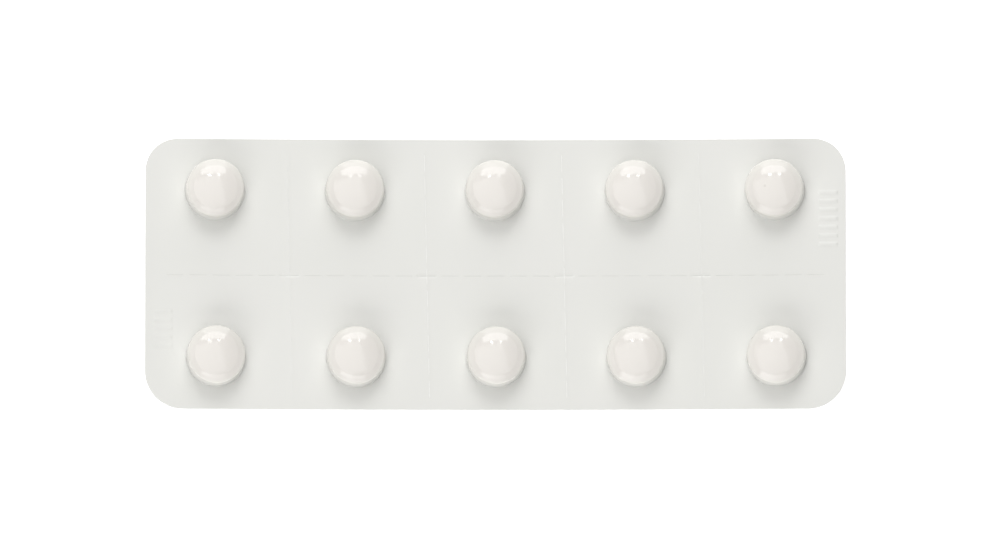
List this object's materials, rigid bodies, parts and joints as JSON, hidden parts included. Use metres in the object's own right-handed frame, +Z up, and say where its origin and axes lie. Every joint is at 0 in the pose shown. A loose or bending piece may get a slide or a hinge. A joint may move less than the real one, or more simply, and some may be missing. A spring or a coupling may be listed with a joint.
{
  "type": "pill blister pack",
  "caption": "Flat milky white film card, slightly bowed, with rows of small round domed pockets holding pale tablets, an aluminium foil back and cut tear lines between the pockets.",
  "frame": {"origin": "lowest line of the foil's underside, at the middle of the card, where it rests", "axes": "+X along the card, +Y across it from the near edge to the far edge, +Z up out of the pockets' side"},
  "size_m": [0.1, 0.039, 0.0053],
  "materials": {
    "film": "glossy milky white film",
    "foil": "bright foil with a fine sealed knurl",
    "tablet": "matte pressed powder"
  },
  "bodies": {
    "root": {"formed_film": "film", "lidding_foil": "foil", "tablet_01": "tablet", "tablet_02": "tablet", "tablet_03": "tablet", "tablet_04": "tablet", "tablet_05": "tablet", "tablet_06": "tablet", "tablet_07": "tablet", "tablet_08": "tablet", "tablet_09": "tablet", "tablet_10": "tablet"}
  },
  "joints": []
}
